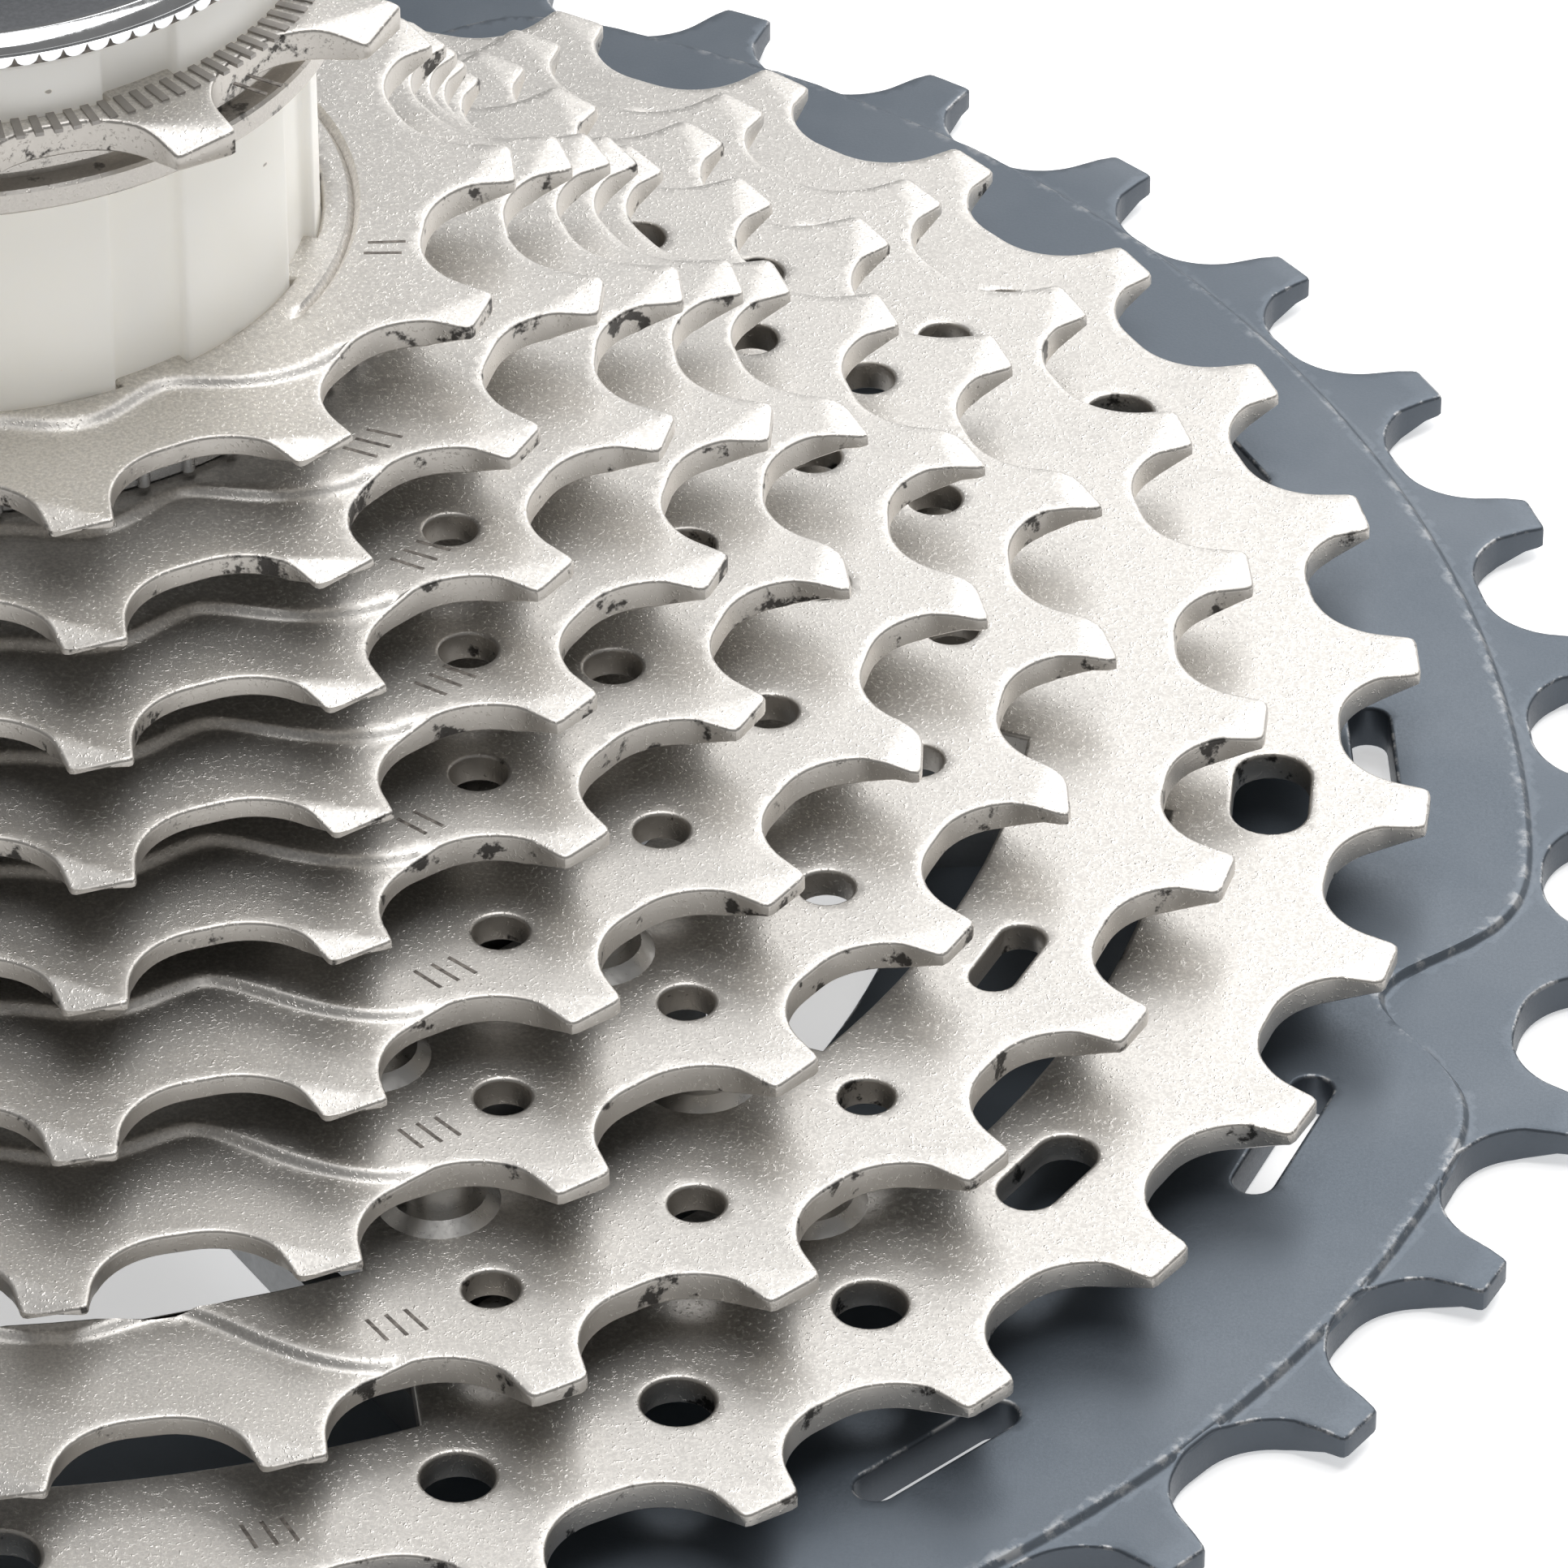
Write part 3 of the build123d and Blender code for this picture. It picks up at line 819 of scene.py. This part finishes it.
def makeSprocket(teeth):
    node = f"sprocket_{teeth}t"
    low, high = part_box(node)
    bottomLevel, topLevel = low.z / mm, high.z / mm
    data = sprockets[teeth]
    kinds = [toothKind(teeth, data["phase"] + tooth * 360 / teeth) for tooth in range(teeth)]
    rise = data.get("rise", teethForm["tipRise"])
    outer = toothOutline(teeth, data["phase"], kinds, rise)
    pitch = pitchRadius(teeth)
    kindNumber = np.array([list(tips).index(kind) for kind in kinds])

    def top(x, y):
        tooth, along, above = toothPlaces(teeth, data["phase"], x, y)
        drop = np.zeros(len(x))
        number = kindNumber[tooth]
        for index, kind in enumerate(tips):
            chosen = number == index
            drop[chosen] = facetDrop(kind, along[chosen], above[chosen])
        if data["end"] is not None:
            drop += recessDrop(teeth, data["end"], data["far"], x, y)
        if teeth == 40:
            angle = np.degrees(np.arctan2(y, x))
            drop = raised["tall"] * smooth((above + raisedLine(angle)) / raised["slope"])
            drop += raised["tipSlope"] * np.maximum(0, above - raised["tipStart"])
        if teeth == 13:
            behind = (data["end"] - np.degrees(np.arctan2(y, x))) % 360
            fade = smooth((behind - lip["end"]) / lip["fade"])
            fade = fade * smooth((lip["start"] - behind) / lip["fade"])
            away = (np.hypot(x, y) - lip["radius"]) / lip["width"]
            drop += lip["depth"] * fade * np.exp(-(away ** 2))
        return topLevel - drop

    def bottom(x, y):
        above = np.hypot(x, y) - pitch
        share = (above - underside["start"]) / underside["width"]
        return bottomLevel + underside["lift"] * np.clip(share, 0, 1)

    lines = []
    if data["end"] is not None:
        length = radians(recess["teeth"] * 360 / teeth) * pitch
        along = np.arange(0.4, length - 0.3, teethForm["sample"])
        line = recessLine(teeth, data["far"], along)[0] + pitch
        rows = [line + recess["slope"] * share for share in (0, 0.22, 0.41, 0.59, 0.78, 1)]
        lines = ringLines(rows, data["end"] - np.degrees(along / pitch))
    if teeth == 40:
        angles = np.arange(0, 359.8, degrees(2 * teethForm["sample"] / pitch))
        line = pitch - raisedLine(angles)
        lines = ringLines([line + raised["slope"] * share for share in (0, 0.33, 0.67, 1)], angles)
    lines += creaseLines(teeth, data["phase"], kinds)
    if teeth == 13:
        angles = data["end"] - np.arange(lip["end"], lip["start"], 0.9)
        shifts = (-0.3, -0.1, 0, 0.1, 0.3)
        lines += ringLines([np.full(len(angles), lip["radius"] + shift) for shift in shifts], angles)
    loops = [outer, innerLoop(teeth)] + holeLoops(teeth)
    inner = data.get("bore", data.get("inner", 0))
    net = gridPoints(pitch - 13, pitch + 1.5, netSize)
    if inner < pitch - 13:
        net = np.concatenate((net, gridPoints(inner, pitch - 13, 2 * netSize)))
    net = net[insideTeeth(teeth, data["phase"], net)]
    material = blueGrey if teeth == 40 else nickel

    def rubbed(x, y):
        # bare metal shows where the thicker body ends
        past = np.hypot(x, y) - pitch + raisedLine(np.degrees(np.arctan2(y, x)))
        return raised["rub"] * np.exp(-(((past - 0.1) / 0.2) ** 2)) if teeth == 40 else np.zeros(len(x))

    piece = makePlate(f"teeth{teeth}", loops, top, bottom, material, net, lines, wear=rubbed)
    keep(piece, node, "anodised_aluminium" if teeth == 40 else "nickel_steel")


creases = {
    "facet": ((-2.45, -2.93), (0.95, -0.33)), "narrow": ((-0.98, -1.82), (0.95, -0.48)),
    "hook": ((-1.7, -0.68), (1.0, -1.66)),
}


def creaseLines(teeth, phase, kinds):
    # mesh edges along the crease of each tooth's facet, stopping short of the flanks
    lines = []
    pitch = pitchRadius(teeth)
    for tooth, kind in enumerate(kinds):
        if kind not in creases:
            continue
        angle = phase + tooth * 360 / teeth
        first, last = (np.array(end, float) for end in creases[kind])
        spots = [first + (last - first) * share for share in np.linspace(0, 1, 9)]
        lines.append(np.array([polar(pitch + y, angle + degrees(t / (pitch + y))) for t, y in spots]))
    return lines


def insideTeeth(teeth, phase, points):
    # drops net points that lie in a gullet
    along, above = toothPlaces(teeth, phase, points[:, 0], points[:, 1])[1:]
    half = teethForm["chainPitch"] / 2
    gap = np.hypot(half - np.abs(along), above) < teethForm["seatRadius"] - 0.4
    return ~(gap | ((above > -0.5) & (np.abs(along) > 2.2)))


raised = {
    "tall": 0.4, "slope": 0.42, "inside": 4.95, "swell": 0.55, "pocket": 6.4, "pocketAngle": -11.3,
    "before": 3.8, "after": 4.3, "repeat": 90, "swells": 4, "swellAngle": 40, "tipSlope": 0.12,
    "tipStart": -0.4, "rub": 0.55,
}


def raisedLine(angle):
    # how far inside the pitch circle the thicker body of the largest sprocket ends
    half = raised["repeat"] / 2
    turn = (np.asarray(angle) - raised["pocketAngle"] + half) % raised["repeat"] - half
    width = np.where(turn > 0, raised["after"], raised["before"])
    swell = np.sin(np.radians((np.asarray(angle) - raised["swellAngle"]) * raised["swells"]))
    return raised["inside"] - raised["swell"] * swell + raised["pocket"] * np.exp(-((turn / width) ** 2))


for teeth in sprockets:
    makeSprocket(teeth)
    print("sprocket", teeth)

core = {
    "outer": 17.25, "floor": 16.7, "groove": 3.9, "inner": 14.0,
    "foot": 21.0, "footTop": 1.45,
}


def makeCore():
    low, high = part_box("transport_core")
    outer = splineLoop(core["outer"], core["floor"], core["groove"])
    for _ in range(4):  # draws the corners of the grooves in, as moulded plastic has them
        between = (outer + np.roll(outer, -1, axis=0)) / 2
        outer = np.stack((outer, between), axis=1).reshape(-1, 2)
        outer = 0.5 * outer + 0.25 * (np.roll(outer, 1, axis=0) + np.roll(outer, -1, axis=0))
    outer = outer[::2]

    def top(x, y):
        return np.full(len(x), high.z / mm)

    def bottom(x, y):
        return np.full(len(x), low.z / mm)

    loops = [outer, circle(core["inner"], 96)]
    tube = makePlate("coreTube", loops, top, bottom, plastic, rim=0.4, foot=0.3)
    level = low.z / mm
    flange = makeLathe("coreFoot", [
        (core["inner"] + 0.2, level), (core["foot"] - 0.3, level), (core["foot"], level + 0.3),
        (core["foot"], core["footTop"] - 0.3), (core["foot"] - 0.3, core["footTop"]),
        (core["inner"] + 0.2, core["footTop"]),
    ], [plastic])
    keep(joinPieces("core", [tube, flange]), "transport_core", "core_plastic")


lockring = {
    "outer": 17.95, "bore": 12.0, "skirt": 15.0, "faceOuter": 16.9, "crown": 17.25, "line": 56.95,
    "scallops": 98, "scallopTall": 0.5, "wall": 0.7, "toolTeeth": 12, "toolDepth": 0.8, "toolGap": 2.4,
    "shadeDrop": 0.08, "shadeInset": 0.14, "shadeTop": 0.55,
}


def makeLockring():
    low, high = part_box("lockring")
    bottom, top = low.z / mm, high.z / mm - 0.15
    bore, outer, line = lockring["bore"] + lockring["toolDepth"], lockring["outer"], lockring["line"]
    under = line - lockring["wall"]
    profile = [
        (bore, bottom), (lockring["skirt"] - 0.3, bottom), (lockring["skirt"], bottom + 0.3),
        (lockring["skirt"], under), (outer, under), (outer, line - 0.2), (outer - 0.12, line - 0.12),
        (outer, line), (outer - 0.03, line + 0.12), (outer - 0.25, line + 0.32),
        (lockring["crown"], top), (lockring["faceOuter"] + 0.12, top), (lockring["faceOuter"], top - 0.1),
        (lockring["faceOuter"] - 0.08, top - 0.1), (bore + 0.3, top - 0.1), (bore, top - 0.4),
    ]
    shadeOuter, shadeLow = outer - lockring["shadeInset"], under - lockring["shadeDrop"]
    shadeHigh = under + lockring["shadeTop"]
    # a dark ring just inside the scalloped edge: painted shade that shows through the notches
    shade = makeLathe("lockringShade", [
        (lockring["skirt"], shadeLow), (shadeOuter, shadeLow),
        (shadeOuter, shadeHigh), (lockring["skirt"], shadeHigh),
    ], [greaseAndPaintedShade])
    steps = 8  # round the edge of each scallop
    count = lockring["scallops"] * steps
    body = makeLathe("lockringBody", profile, [chrome, paint], count, bands=[(13, 1)], sharp=50)
    for i in range(count):
        share = (i % steps) / steps * 2 - 1
        lift = lockring["scallopTall"] * (1 - sqrt(1 - share * share))
        body.data.vertices[4 * count + i].co.z += lift * mm
    step = 360 / lockring["toolTeeth"]
    width = 2 * pi * lockring["bore"] / lockring["toolTeeth"] - lockring["toolGap"]
    ridges = makeRing("toolRidges", "blocks", chrome, Count=lockring["toolTeeth"], Start=step / 2,
                      Step=step, Radius=bore - lockring["toolDepth"] / 2 + 0.1,
                      Height=(bottom + top) / 2 - 0.4, Along=lockring["toolDepth"] + 0.2,
                      Across=width, Tall=top - bottom - 1.2)
    keep(joinPieces("lockringPiece", [body, shade, ridges]), "lockring", "lockring_chrome")


first = {
    "teeth": 11, "phase": 12.85, "plate": 1.75, "bore": 17.35, "neck": 17.9, "ring": 18.75,
    "ringTop": 50.05, "groove": 0.32, "ridges": 132, "ridgeInner": 17.4, "ridgeOuter": 18.9,
    "ridgeTall": 0.2, "ridgeWidth": 0.4, "netInner": 17.6, "netOuter": 23.5,
    "lift": 0.35, "liftStart": -1.6, "liftWidth": 1.9,
}


def makeFirst():
    low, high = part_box("sprocket_11t")
    level, topLevel = low.z / mm, high.z / mm
    under = topLevel - first["plate"]
    teeth = first["teeth"]
    outer = toothOutline(teeth, first["phase"], ["facet"] * teeth, teethForm["tipRise"])

    def top(x, y):
        along, above = toothPlaces(teeth, first["phase"], x, y)[1:]
        return topLevel - facetDrop("facet", along, above + 0.25)

    def bottom(x, y):
        above = np.hypot(x, y) - pitchRadius(teeth)
        share = (above - first["liftStart"]) / first["liftWidth"]
        return under + first["lift"] * np.clip(share, 0, 1)

    net = gridPoints(first["netInner"], first["netOuter"], netSize * 0.8)
    net = net[insideTeeth(teeth, first["phase"], net)]
    bore = splineLoop(first["bore"], splines["floor"], splines["width"])[::-1]
    plate = makePlate("firstPlate", [outer, bore], top, bottom, nickel, net)
    boss = makeLathe("firstBoss", [
        (first["bore"], level), (first["ring"] - 0.2, level), (first["ring"], level + 0.2),
        (first["ring"], first["ringTop"] - 0.15), (first["ring"] - 0.15, first["ringTop"]),
        (first["neck"] - first["groove"], first["ringTop"]),
        (first["neck"] - first["groove"], first["ringTop"] + first["groove"]),
        (first["neck"], first["ringTop"] + 1.6 * first["groove"]), (first["neck"], under + 0.2),
        (first["bore"], under + 0.2),
    ], [nickel], sharp=40)
    mark = boss.data.attributes.new("cut", "FLOAT", "POINT")
    mark.data.foreach_set("value", np.full(len(boss.data.vertices), 0.75, np.float32))
    middle = (first["ridgeInner"] + first["ridgeOuter"]) / 2
    # the ridges take the darker steel: painted shade
    ridges = makeRing("firstRidges", "blocks", ridgePaintedShadeSteel, Count=first["ridges"], Radius=middle,
                      Height=topLevel + first["ridgeTall"] / 2 - 0.1, Start=0, Step=360 / first["ridges"],
                      Along=first["ridgeOuter"] - first["ridgeInner"], Across=first["ridgeWidth"],
                      Tall=first["ridgeTall"])
    keep(joinPieces("teeth11", [plate, boss, ridges]), "sprocket_11t", "nickel_steel")


spacer = {"outer": 20.6, "bore": 17.35, "edge": 0.2, "ribs": 54, "ribWidth": 0.7}


def makeSpacer(node):
    low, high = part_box(node)
    bottom, top = low.z / mm, high.z / mm
    outer, edge = spacer["outer"] - 0.25, spacer["edge"]
    body = makeLathe("ring", [
        (spacer["bore"], bottom), (outer - edge, bottom), (outer, bottom + edge), (outer, top - edge),
        (outer - edge, top), (spacer["bore"], top),
    ], [bareAluminium], sharp=40)
    ribs = makeRing("ribs", "posts", bareAluminium, Count=spacer["ribs"], Radius=outer,
                    Height=(bottom + top) / 2, Start=0, Step=360 / spacer["ribs"],
                    Along=spacer["ribWidth"], Across=spacer["ribWidth"], Tall=top - bottom - 2 * edge)
    keep(joinPieces(node.replace("spacer_", "ribbedSpacer_"), [body, ribs]), node, "spacer_aluminium")


rivetCircle = {24: 33.5, 27: 41.6, 31: 48.4, 35: 55.2}
rivets = {"spread": 9, "head": 2.9, "headTall": 3.6}


def makeRivets(teeth):
    node = f"rivets_{teeth}t"
    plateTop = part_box(f"sprocket_{teeth}t")[1].z / mm
    groups = []
    for side in (-1, 1):
        groups.append(makeRing("rivets", "rivetHeads", rivetMetal, Count=arms["count"],
                               Radius=rivetCircle[teeth], Height=plateTop,
                               Start=arms["angle"] + side * rivets["spread"], Step=360 / arms["count"],
                               Along=rivets["head"], Across=rivets["head"], Tall=rivets["headTall"]))
    keep(joinPieces(f"rivetHeads{teeth}", groups), node, "rivet_steel")


makeCore()
makeLockring()
makeFirst()
for node in frame["nodes"]:
    if node.startswith("spacer_"):
        makeSpacer(node)
for teeth in rivetCircle:
    makeRivets(teeth)
print("core, lockring, first sprocket, spacers and rivets made")


# places: the first stroke's angle, its distance inside the pitch circle and the number of strokes
strokes = {"length": 1.8, "width": 0.2, "gap": 0.95, "turn": 12,
           "places": {11: (-41.5, 1.9, 2), 13: (-9.0, 5.8, 2), 15: (-35.5, 5.9, 3), 17: (-38.6, 5.9, 3),
                      19: (-43.5, 5.9, 3), 21: (-50.6, 6.2, 2), 24: (-55.2, 6.3, 3), 27: (-60.4, 6.6, 3),
                      31: (-66.0, 6.9, 3), 35: (-74.0, 7.2, 3)}}


def makeStrokes(teeth):
    # generic short strokes where each sprocket is marked
    node = f"sprocket_{teeth}t"
    angle, inward, count = strokes["places"][teeth]
    radius = pitchRadius(teeth) - inward
    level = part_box(node)[1].z / mm
    piece = makeRing(f"strokes{teeth}", "blocks", greaseAndPaintedShade, Count=count, Radius=radius, Height=level - 0.02,
                     Start=angle, Step=degrees(strokes["gap"] / radius), Along=strokes["length"],
                     Across=strokes["width"], Tall=0.06, Turn=strokes["turn"])
    keep(piece, node, "nickel_steel", extra=True)


for teeth in strokes["places"]:
    makeStrokes(teeth)
print("strokes stamped")

floorSize = 6.0


def makeFloor():
    mesh = bpy.data.meshes.new("floor")
    half = floorSize / 2
    level = -0.0001  # clear of the flat underside
    spots = [(-half, -half, level), (half, -half, level), (half, half, level), (-half, half, level)]
    mesh.from_pydata(spots, [], [(0, 1, 2, 3)])
    floor = bpy.data.objects.new("floor", mesh)
    bpy.context.scene.collection.objects.link(floor)
    material, tree, shader = newMaterial("paleFloor")
    shader.inputs["Base Color"].default_value = (0.95, 0.95, 0.95, 1)
    shader.inputs["Roughness"].default_value = 0.9
    shader.inputs["Emission Color"].default_value = (1, 1, 1, 1)
    shader.inputs["Emission Strength"].default_value = 0.5
    mesh.materials.append(material)


def addLight(name, place, target, size, power):
    light = bpy.data.lights.new(name, "AREA")
    light.shape = "RECTANGLE"
    light.size = light.size_y = size
    light.energy = power
    lamp = bpy.data.objects.new(name, light)
    lamp.location = place
    lamp.rotation_euler = (Vector(target) - Vector(place)).to_track_quat("-Z", "Y").to_euler()
    bpy.context.scene.collection.objects.link(lamp)


def makeStudio():
    makeFloor()
    world = bpy.data.worlds.new("studio")
    world.use_nodes = True
    background = world.node_tree.nodes["Background"]
    background.inputs["Color"].default_value = (1, 1, 1, 1)
    background.inputs["Strength"].default_value = 0.2
    bpy.context.scene.world = world
    addLight("key", (0.25, 0.37, 0.36), (0.05, -0.01, 0.01), 0.49, 1.75)
    addLight("overhead", (0.1, -0.05, 1.0), (0.04, -0.03, 0.0), 0.7, 5)
    bpy.context.scene.view_settings.view_transform = "Standard"


camera = {
    "place": (56.5, -448.9, 334.2), "forward": (-0.03086586, 0.80523755, -0.59214845),
    "right": (0.99932165, 0.03676768, -0.00209104), "lens": 259.96,
}


def makeCamera():
    data = bpy.data.cameras.new("camera")
    data.lens = camera["lens"]
    data.sensor_width = 36
    data.clip_start, data.clip_end = 0.01, 20
    view = bpy.data.objects.new("camera", data)
    right, forward = Vector(camera["right"]), Vector(camera["forward"])
    up = right.cross(forward)
    view.matrix_world = Matrix.Translation(Vector(camera["place"]) * mm) @ Matrix(
        ((right.x, up.x, -forward.x), (right.y, up.y, -forward.y), (right.z, up.z, -forward.z))
    ).to_4x4()
    bpy.context.scene.collection.objects.link(view)
    bpy.context.scene.camera = view


makeStudio()
makeCamera()
print("studio ready")

for node in ("large_spider", "small_spider"):
    mesh = frame["nodes"][node].data
    mesh.materials.clear()
    mesh.materials.append(spiderMetal)
